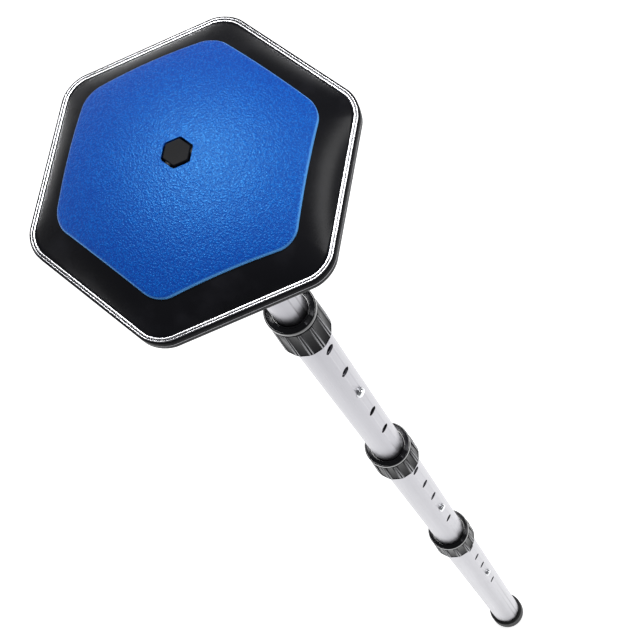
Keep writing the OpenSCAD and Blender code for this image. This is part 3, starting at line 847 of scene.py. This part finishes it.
@dataclass
class TwistCollar:
    """A glossy twist collar: twelve sunk panels with a double ridge at each corner, and a dished round lip."""

    stage: str
    sides: int = 12
    taper: float = 0.955
    corner: float = 1.25 * MM
    lip_h: float = 3.8 * MM
    lip_share: float = 0.94
    bead_w: float = 1.2 * MM
    foot_h: float = 3 * MM
    foot_clear: float = 0.06 * MM
    bore_clear: float = 1.26 * MM
    mouth_in: float = 1.7 * MM
    roof_drop: float = 4.5 * MM
    shoulder_r: float = 1.5 * MM
    # how far from each corner the painted highlight on the ridges begins and ends
    highlight_from: float = 0.55 * MM
    highlight_to: float = 1.35 * MM

    def build(self) -> None:
        """Models the panelled body, turns the lip and joins the two."""
        node = f"{self.stage}_collar"
        low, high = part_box(node)
        _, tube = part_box(f"{self.stage}_tube")
        outer, shaft = high.x, tube.y
        body = self._body(f"{node}_moulded", outer, low.z, high.z - self.lip_h)
        below, above = low.z - MM, high.z + MM
        foot_top, roof = low.z + self.foot_h, high.z - self.roof_drop
        snug, wide, mouth = shaft + self.foot_clear, shaft + self.bore_clear, shaft - self.mouth_in
        body.cut(turned(f"{self.stage}_bore", [
            (0, below), (snug, below), (snug, foot_top), (wide, foot_top), (wide, roof), (mouth, roof),
            (mouth, above), (0, above),
        ]))
        body.join(self._lip(f"{self.stage}_lip", outer, mouth, high.z))
        RECORD.dress(body.done(30), node)

    def _body(self, name: str, outer: float, low: float, high: float) -> Bench:
        """The twelve-sided body with its shoulder, panels and corner grooves.

        Args:
            name: Name of the new object.
            outer: Radius at the corners of the lower edge.
            low: Height of the lower edge.
            high: Height of the shoulder.

        Returns:
            The body, in edit mode.
        """
        body = Bench(
            name, bpy.ops.mesh.primitive_cylinder_add, vertices=self.sides, radius=outer, depth=high - low,
            location=(0, 0, (low + high) / 2), rotation=(0, 0, math.pi / self.sides), end_fill_type="NGON",
        )
        body.pick(Kind.POINTS, lambda point: point.co.z > high - MM)
        body.scale(self.taper, self.taper)
        body.pick(Kind.EDGES, lambda edge: abs(along(edge).z) > 0.9)
        body.bevel(self.corner)
        body.pick(Kind.EDGES, lambda edge: centre(edge).z > high - 0.1 * MM)
        body.bevel(self.shoulder_r, 4)
        wide = outer * math.sin(math.pi / self.sides)

        def on_side(face: bmesh.types.BMFace) -> bool:
            """True for a face of the body's side, below the shoulder."""
            return abs(face.normal.z) < 0.2 and face.calc_area() > 0.3 * (high - low) * MM

        def width(face: bmesh.types.BMFace) -> float:
            """Width of a face at its widest."""
            return max((a.co.xy - b.co.xy).length for a in face.verts for b in face.verts)

        body.pick(Kind.FACES, lambda face: on_side(face) and width(face) > wide)
        body.inset(0.35 * MM, 0, each=True)
        body.pick(Kind.FACES, lambda face: on_side(face) and width(face) > wide * 0.8)
        body.inset(0.3 * MM, -0.4 * MM, each=True)
        body.pick(Kind.FACES, lambda face: on_side(face) and width(face) < wide * 0.6 and width(face) > 1.2 * MM)
        body.inset(0.55 * MM, 0, each=True)
        body.inset(0.25 * MM, -0.55 * MM, each=True)
        body.soften(0.16 * MM, 2, 24)
        crest = outer * (1 + self.taper) / 2 - 1.2 * MM
        # painted highlight on the ridges beside each corner, a paler colour for the bright lines they catch
        body.mark("ridge", lambda place: self._ridge_highlight(place, crest) if place.z < high - 2 * MM else 0.0)
        return body

    def _ridge_highlight(self, place: Vector, crest: float) -> float:
        """Painted highlight: 1 on the ridges beside each corner, from a place and the radius that ridges lie beyond;
        otherwise 0.
        """
        step = 360 / self.sides
        from_corner = abs(azimuth(place) % step - step / 2)
        off = reach(place) * math.radians(from_corner)
        return 1.0 if reach(place) > crest and self.highlight_from < off < self.highlight_to else 0.0

    def _lip(self, name: str, outer: float, inner: float, top: float) -> Bench:
        """The round lip: a thin outer bead, a shallow funnel and a small bead against the inner tube."""
        edge = outer * self.lip_share
        bead = self.bead_w
        profile = rounded([
            (inner, top - 4.4 * MM, 0),
            (inner, top - 0.9 * MM, 0.35 * MM),
            (inner + 0.9 * MM, top - 0.9 * MM, 0.35 * MM),
            (inner + 1.1 * MM, top - 1.5 * MM, 0.15 * MM),
            (edge - bead, top - 0.85 * MM, 0.2 * MM),
            (edge - bead + 0.15 * MM, top, 0.4 * MM),
            (edge, top, 0.6 * MM),
            (edge, top - 3.6 * MM, 0.8 * MM),
            (edge - 0.9 * MM, top - 3.9 * MM, 0),
            (edge - 0.9 * MM, top - 4.4 * MM, 0),
        ], 6)
        lip = turned(name, profile, 96)
        lip.mark("lip", lambda place: 1.0)
        return lip


@dataclass
class LockKnob:
    """The fluted nut that locks the head on the pole's tip."""

    flutes: int = 18
    proud: float = 0.7 * MM
    bore_r: float = 8.21 * MM
    edge_r: float = 0.9 * MM

    def build(self) -> None:
        """Models a drum, raises its flutes, rounds its edges and bores it."""
        low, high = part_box("lock_knob")
        core = high.x - self.proud
        faces = self.flutes * 4
        bench = Bench(
            "lock_knob_moulded", bpy.ops.mesh.primitive_cylinder_add, vertices=faces, radius=core,
            depth=high.z - low.z, location=(0, 0, (low.z + high.z) / 2), end_fill_type="NGON",
        )
        bench.pick(Kind.EDGES, lambda edge: min(abs(centre(edge).z - end) for end in (low.z, high.z)) < 0.1 * MM)
        bench.bevel(self.edge_r, 3)
        step = 360 / self.flutes
        bench.pick(
            Kind.FACES,
            lambda face: abs(face.normal.z) < 0.1 and step * 0.25 < azimuth(centre(face)) % step < step * 0.75,
        )
        bench.inset(0.25 * MM)
        bpy.ops.transform.shrink_fatten(value=self.proud)
        bench.soften(0.18 * MM, 2, 24)
        bench.cut(bore("knob_bore", self.bore_r, low.z, high.z))
        RECORD.dress(bench.done(30), "lock_knob")


# ---------------------------------------------------------------- the head


@dataclass(frozen=True)
class Hexagon:
    """A hexagon with rounded corners, which the head's pieces are offset or scaled from."""

    half: float
    corner_r: float
    turn: float
    arc_steps: int = 9
    flat_cuts: int = 8

    def start(self, name: str, z: float) -> Bench:
        """A flat face of this outline, facing up.

        Args:
            name: Name of the new object.
            z: Height of the face.

        Returns:
            The face, in edit mode and selected.
        """
        bench = Bench(
            name, bpy.ops.mesh.primitive_circle_add, vertices=6, radius=self.half / math.cos(math.pi / 6),
            fill_type="NGON", location=(0, 0, z), rotation=(0, 0, self.turn - math.pi / 2),
        )
        bpy.ops.mesh.select_mode(type="VERT")
        bench.bevel(self.corner_r * math.tan(math.pi / 6), self.arc_steps, corners=True)
        arc = self.corner_r * math.radians(60) / self.arc_steps
        bench.pick(Kind.EDGES, lambda edge: edge.calc_length() > 3 * arc)
        bpy.ops.mesh.subdivide(number_cuts=self.flat_cuts)
        bench.pick(Kind.FACES, lambda face: True)
        bpy.ops.mesh.normals_make_consistent(inside=False)
        if bmesh.from_edit_mesh(bench.obj.data).faces[:][0].normal.z < 0:
            bpy.ops.mesh.flip_normals()
        return bench

    def edge(self, direction: float) -> float:
        """Distance from the axis to the outline in a direction, in radians."""
        sixth = math.pi / 3
        from_corner = (direction - self.turn + sixth / 2) % sixth - sixth / 2
        core = (self.half - self.corner_r) / math.cos(math.pi / 6)
        if abs(math.atan2(core / 2, self.half)) >= sixth / 2 - abs(from_corner):
            return self.half / math.cos(sixth / 2 - abs(from_corner))
        side = core * math.sin(from_corner)
        return core * math.cos(from_corner) + math.sqrt(self.corner_r ** 2 - side ** 2)

    def share(self, place: Vector) -> float:
        """How far out a place lies: 0 at the axis, 1 on the outline."""
        return reach(place) / self.edge(math.atan2(place.y, place.x))


@dataclass
class Head:
    """The domed hexagonal head: shell, bright rim, blue pad, cap, base plate and screws."""

    half: float = 71.426 * MM
    corner_r: float = 16 * MM
    turn: float = math.radians(-11)
    rim_w: float = 3.4 * MM
    trim_inset: float = 0.7 * MM
    trim_w: float = 2.3 * MM
    trim_base: float = 0.2 * MM
    rise: float = 20.5 * MM
    wall: float = 2.2 * MM
    pad_share: float = 0.82
    pad_t: float = 1.6 * MM
    pad_edge_w: float = 0.55 * MM
    cap_hole: float = 6.8 * MM
    cap_r: float = 6.5 * MM
    edge_blend: float = 10
    plate_inset: float = 0.2 * MM
    seam: float = 1.0 * MM
    line_in: float = 4 * MM
    line_w: float = 0.9 * MM
    hub_r: float = 14 * MM
    screw_at: float = 0.58
    screw_count: int = 6
    screw_r: float = 1.5 * MM
    sink_r: float = 3.6 * MM
    sink_depth: float = 2.1 * MM
    sink_rise: float = 0.35 * MM
    cross_l: float = 3.2 * MM
    cross_w: float = 0.7 * MM
    cross_depth: float = 1.6 * MM

    def __post_init__(self) -> None:
        """Works out the rim's height and the dome's outline."""
        low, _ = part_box("head_shell")
        _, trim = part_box("rim_trim")
        self.rim_z = trim.z
        self.flange = trim.z - low.z
        corner_share = self.corner_r / self.half
        dome_half = self.half - self.rim_w
        self.dome = Hexagon(dome_half, dome_half * corner_share, self.turn)
        self.dome_corner = (self.dome.half - self.dome.corner_r) / math.cos(math.pi / 6) + self.dome.corner_r

    def cap_height(self, share: float) -> float:
        """Height of a ball's cap at a share of the dome's corner radius, as a share of the rise."""
        corner = self.dome_corner
        ball = (corner ** 2 + self.rise ** 2) / (2 * self.rise * corner)
        return (math.sqrt(ball ** 2 - share ** 2) - math.sqrt(ball ** 2 - 1)) * corner / self.rise

    def dome_height(self, place: Vector, shrink: float = 1) -> float:
        """Height of the dome above the rim at a place.

        Args:
            place: The place, of which only x and y count.
            shrink: The size of the dome, as a share of the outer one.

        Returns:
            The height in metres.
        """
        flat = Vector((place.x / shrink, place.y / shrink, 0))
        share = min(1.0, self.dome.share(flat))
        out = reach(flat) / self.dome_corner
        rise = self.rise - (1 - shrink) * self.dome.half
        return rise * self.cap_height(out + (share - out) * share ** self.edge_blend)

    def build(self) -> None:
        """Builds every piece of the head."""
        self.build_shell()
        self.build_trim()
        self.build_pad()
        self.build_cap()
        self.build_plate()
        self.build_screws()

    def _rings(self, bench: Bench, shares: Sequence[float], z: float) -> None:
        """Adds rings towards the middle of the selected face, scaled copies of its outline.

        Args:
            bench: The mesh, with the face selected.
            shares: Size of each ring as a share of the dome's outline; the first is the face's own size.
            z: Height of the face.
        """
        for before, share in zip(shares, shares[1:]):
            bench.extrude()
            bench.scale(share / before, share / before, 1, about=(0, 0, z))

    def _open_middle(self, bench: Bench) -> None:
        """Joins the middle faces of the upper and lower side into a hole."""
        bench.pick(Kind.FACES, lambda face: len(face.verts) > 8)
        bpy.ops.mesh.bridge_edge_loops()

    def build_shell(self) -> None:
        """Models the shell: a flange with a seat for the bright rim, the dome's outer skin and its inner skin."""
        rim, low = self.rim_z, self.rim_z - self.flange
        bench = Hexagon(self.half, self.corner_r, self.turn).start("head_shell_moulded", low)
        bench.extrude(z=self.flange - 0.65 * MM)
        bench.step_in(((0.07, 0.17), (0.18, 0.08)))
        bench.inset(self.trim_inset - 0.25 * MM)
        bench.extrude(z=-0.4 * MM)
        bench.inset(self.trim_w)
        bench.extrude(z=0.6 * MM)
        bench.inset(0.12 * MM)
        bench.move(z=0.12 * MM)
        bench.extrude()
        outer = self.half - self.trim_inset - self.trim_w - 0.12 * MM
        bench.scale(self.dome.half / outer, self.dome.half / outer, 1, about=(0, 0, rim))
        bench.move(z=0.08 * MM)
        last = self.cap_hole / self.dome.half
        shares = [1, 0.995, 0.985, 0.97, 0.95, 0.92, 0.89, 0.86, 0.82, 0.77, 0.7, 0.6, 0.48, 0.36, 0.24, last]
        self._rings(bench, shares, rim)
        shrink = 1 - self.wall / self.dome.half
        bench.pick(Kind.FACES, lambda face: face.normal.z < -0.9 and len(face.verts) > 8)
        bench.extrude()
        size = self.dome.half * shrink / self.half
        bench.scale(size, size, 1, about=(0, 0, low))
        self._rings(bench, shares, low)
        self._open_middle(bench)

        def height(place: Vector) -> float:
            """Height that the flat rings are raised by, on the outer and the inner skin."""
            if place.z > low + 0.1 * MM:
                inside = self.dome.share(place) < 0.9999
                return self.dome_height(place) if inside and place.z > rim - 0.01 * MM else 0
            inside = self.dome.share(place) < shrink * 0.9999
            return self.flange + self.dome_height(place, shrink) if inside else 0

        bench.lift(height, self.rise + self.flange)
        bench.close()
        bench.mark("lip", lambda place: 1.0 if self.dome.share(place) < 1.001 else 0.0)
        RECORD.dress(bench.done(28), "head_shell")

    def build_trim(self) -> None:
        """Models the bright rim: two rounded beads with a fine line between them; painted shade darkens the line and
        the trim's foot.
        """
        seat = self.rim_z - 0.8 * MM
        half, corner = self.half - self.trim_inset, self.corner_r - self.trim_inset
        bench = Hexagon(half, corner, self.turn).start("rim_trim_rolled", seat)
        bench.extrude(z=self.trim_base)
        outer = ((0.04, 0.3), (0.12, 0.14), (0.22, 0.06), (0.22, -0.06), (0.12, -0.14), (0.04, -0.3))
        inner = ((0.04, 0.3), (0.16, 0.16), (0.4, 0.06), (0.4, -0.06), (0.16, -0.16), (0.04, -0.3))
        bench.step_in((*outer, (0.28, 0.0), *inner, (0.06, 0.0)))
        bench.extrude(z=-self.trim_base)
        self._open_middle(bench)
        bench.close()
        # painted shade: the trim's low points, along the line between the beads and at its foot, are marked dark
        bench.mark("groove", lambda place: 1.0 if place.z < seat + self.trim_base + 0.1 * MM else 0.0)
        RECORD.dress(bench.done(40), "rim_trim")

    def build_pad(self) -> None:
        """Models the pad as a skin on the dome, with a rounded edge."""
        rim = self.rim_z
        outline = Hexagon(self.dome.half * self.pad_share, self.dome.corner_r * self.pad_share, self.turn)
        bench = outline.start("grip_pad_moulded", rim)
        bench.extrude(z=self.pad_t - 0.75 * MM)
        edge = ((0.05, 0.26), (0.16, 0.26), (0.28, 0.16), (0.34, 0.07))
        bench.step_in(edge)
        taken = sum(inwards for inwards, _ in edge) * MM
        share = (outline.half - taken) / self.dome.half
        last = self.cap_hole / self.dome.half
        shares = [share, 0.79, 0.75, 0.7, 0.64, 0.57, 0.49, 0.41, 0.33, 0.25, 0.17, last]
        self._rings(bench, shares, rim + self.pad_t)
        bench.pick(Kind.FACES, lambda face: face.normal.z < -0.9 and len(face.verts) > 8)
        self._rings(bench, [self.pad_share, *shares[1:]], rim)
        self._open_middle(bench)
        bench.lift(self.dome_height, self.rise)
        bench.close()
        bench.mark("edge", self._pad_edge)
        RECORD.dress(bench.done(50), "grip_pad")

    def _pad_edge(self, place: Vector) -> float:
        """How much a place belongs to the pad's pale edge line: 1 on the outline, 0 past the line's width."""
        inwards = (self.pad_share - self.dome.share(place)) * self.dome.half
        return max(0.0, min(1.0, 1 - inwards / self.pad_edge_w))

    def build_cap(self) -> None:
        """Models the flat hexagonal cap over the head's screw."""
        low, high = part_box("centre_cap")
        bench = Bench(
            "centre_cap_moulded", bpy.ops.mesh.primitive_cylinder_add, vertices=6, radius=self.cap_r,
            depth=high.z - low.z, location=(0, 0, (low.z + high.z) / 2), rotation=(0, 0, self.turn - math.pi / 2),
            end_fill_type="NGON",
        )
        bench.pick(Kind.EDGES, lambda edge: abs(along(edge).z) > 0.9)
        bench.bevel(0.5 * MM, 3)
        bench.pick(Kind.FACES, lambda face: face.normal.z > 0.9)
        bench.inset(0.35 * MM)
        bench.soften(0.3 * MM, 3, 40)
        RECORD.dress(bench.done(30), "centre_cap")

    def build_plate(self) -> None:
        """Models the base plate: a rounded edge, a line sunk near it, the hub's opening and countersinks."""
        low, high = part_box("base_plate")
        outline = Hexagon(self.half - self.plate_inset, self.corner_r - self.plate_inset, self.turn)
        bench = outline.start("base_plate_moulded", high.z)
        bpy.ops.mesh.flip_normals()
        bench.extrude(z=-self.seam)
        bench.extrude(z=-0.05 * MM)
        bench.extrude(z=-(high.z - low.z - self.seam - 0.55 * MM))
        bench.step_in(((0.08, 0.22), (0.18, 0.16), (0.24, 0.12)), -1)
        bench.inset(self.line_in)
        bench.step_in(((0.3, 0.45),))
        bench.inset(self.line_w)
        bench.step_in(((0.3, 0.45),), -1)
        bench.close()
        bench.cut(bore("hub_opening", self.hub_r, low.z, high.z))
        sinks = Bench.group(
            "sinks", bpy.ops.mesh.primitive_cone_add,
            [dict(location=(x, y, low.z + self.sink_rise)) for x, y in self._screw_places()],
            vertices=40, radius1=self.sink_r, radius2=self.screw_r, depth=self.sink_depth, end_fill_type="NGON",
        )
        bench.cut(sinks)
        # painted highlight: the plate's upper outer edge is marked to be coloured paler, for the bright line at the
        # rim's seam
        bench.mark("ridge", lambda place: self._seam_light(place, high.z))
        RECORD.dress(bench.done(28), "base_plate")

    def _seam_light(self, place: Vector, top: float) -> float:
        """1 on the plate's upper outer edge, which gets a painted highlight; otherwise 0."""
        return 1.0 if place.z > top - self.seam - 0.02 * MM and reach(place) > 2 * self.hub_r else 0.0

    def _screw_places(self) -> list[Point]:
        """Where the base screws are, as x and y."""
        out = self.screw_at * self.half
        angles = [self.turn + index * FULL_TURN / self.screw_count for index in range(self.screw_count)]
        return [(out * math.cos(angle), out * math.sin(angle)) for angle in angles]

    def build_screws(self) -> None:
        """Models one countersunk screw with a cross recess, and copies it to its six places."""
        low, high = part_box("base_screws")
        base = low.z
        profile = [
            (0, base), (2.75 * MM, base), (2.9 * MM, base + 0.12 * MM), (self.screw_r, base + 1.5 * MM),
            (self.screw_r, high.z - 0.6 * MM), (0.9 * MM, high.z), (0, high.z),
        ]
        master = turned("base_screw_master", profile, 40)
        for arms in ((self.cross_l, self.cross_w), (self.cross_w, self.cross_l)):
            master.cut(Bench(
                "cross", bpy.ops.mesh.primitive_cube_add, size=1, scale=(*arms, self.cross_depth),
                location=(0, 0, base),
            ))
        for index, (x, y) in enumerate(self._screw_places()):
            screw = master.copy(f"base_screw_{index + 1}")
            screw.move(x, y)
            RECORD.dress(screw.done(30), "base_screws")
        bpy.data.objects.remove(master.obj)


# ---------------------------------------------------------------- studio


@dataclass(frozen=True)
class Viewpoint:
    """Where the camera stands, from the centre of the head's rim."""

    lens: float = 83.42
    position: tuple[float, float, float] = (0.3031, -0.1553, 0.5701)
    right: tuple[float, float, float] = (0.85078, 0.47579, -0.22316)
    forward: tuple[float, float, float] = (-0.34817, 0.19224, -0.91751)

    def set_up(self, rim_z: float) -> None:
        """Adds the camera and makes it the scene's own."""
        bpy.ops.object.camera_add()
        camera = bpy.context.active_object
        camera.name = "camera"
        forward = Vector(self.forward).normalized()
        right = (Vector(self.right) - forward * forward.dot(Vector(self.right))).normalized()
        up = right.cross(forward)
        turn = Matrix((right, up, -forward)).transposed()
        camera.matrix_world = Matrix.Translation(Vector(self.position) + Vector((0, 0, rim_z))) @ turn.to_4x4()
        camera.data.lens = self.lens
        camera.data.sensor_width = 36
        camera.data.clip_start, camera.data.clip_end = 0.01, 50
        bpy.context.scene.camera = camera


@dataclass(frozen=True)
class Softbox:
    """One rectangular studio light."""

    name: str
    position: tuple[float, float, float]
    target: tuple[float, float, float]
    size: tuple[float, float]
    power: float

    def set_up(self) -> None:
        """Adds the light, turned to its target."""
        bpy.ops.object.light_add(type="AREA", location=self.position)
        light = bpy.context.active_object
        light.name = self.name
        light.data.shape = "RECTANGLE"
        light.data.size, light.data.size_y = self.size
        light.data.energy = self.power
        aim = Vector(self.target) - Vector(self.position)
        light.rotation_euler = aim.to_track_quat("-Z", "Y").to_euler()


@dataclass
class Studio:
    """A plain pale floor, soft lights and a dim room above."""

    floor_half: float = 40.0
    floor_colour: tuple[float, float, float] = (0.93, 0.93, 0.93)
    glow: float = 0.82
    room: float = 0.22

    def build(self, rim_z: float) -> None:
        """Adds the floor, the room's light, the softboxes and the camera."""
        self._floor()
        self._room()
        for box in (
            Softbox("key_softbox", (-0.55, 0.53, rim_z + 1.79), (0, 0, rim_z), (0.7, 0.7), 32),
            Softbox("side_softbox", (1.28, 1.17, rim_z + 0.93), (0, 0, rim_z), (1.0, 0.7), 17),
            Softbox("fill_softbox", (-2.0, -0.9, rim_z - 0.9), (0, 0, rim_z - 0.5), (1.0, 2.0), 10),
        ):
            box.set_up()
        Viewpoint().set_up(rim_z)
        bpy.context.scene.view_settings.view_transform = "Standard"
        bpy.context.scene.view_settings.look = "None"

    def _floor(self) -> None:
        """Adds the floor, just under the foot."""
        bench = Bench("studio_floor", bpy.ops.mesh.primitive_grid_add, x_subdivisions=4, y_subdivisions=4,
                      size=2 * self.floor_half, location=(0, 0, -0.02 * MM))
        floor = bench.done()
        board = Board("studio_floor_finish")
        shade = board.noise((0.8, 0.8, 0.8), 1)
        pale = rgb(*self.floor_colour)
        floor.data.materials.append(board.surface({
            "Base Color": board.blend(shade * 0.05, pale, rgb(0.9, 0.9, 0.9)),
            "Roughness": 0.9,
            "Emission Color": pale,
            "Emission Strength": self.glow,
        }))

    def _room(self) -> None:
        """Sets the light of the room round the object."""
        world = bpy.data.worlds.new("studio_room")
        world.use_nodes = True
        world.node_tree.nodes["Background"].inputs["Color"].default_value = rgb(0.95, 0.97, 1.0)
        world.node_tree.nodes["Background"].inputs["Strength"].default_value = self.room
        bpy.context.scene.world = world


def main() -> None:
    """Builds the pole from the foot up, then the head, the inner parts' finishes and the studio."""
    logging.basicConfig(level=logging.INFO, format="%(name)s: %(message)s")
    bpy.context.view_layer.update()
    Foot().build()
    for stage in (*STAGES, "top"):
        Tube(stage).build()
    SnapButtons().build()
    for stage in STAGES:
        TwistCollar(stage).build()
    LockKnob().build()
    head = Head()
    head.build()
    for name, node in frame["nodes"].items():
        if not node.hide_render:
            RECORD.paint(node, name)
            log.info("%s keeps its CAD shape", name)
    Studio().build(head.rim_z)


if __name__ == "__main__":
    main()
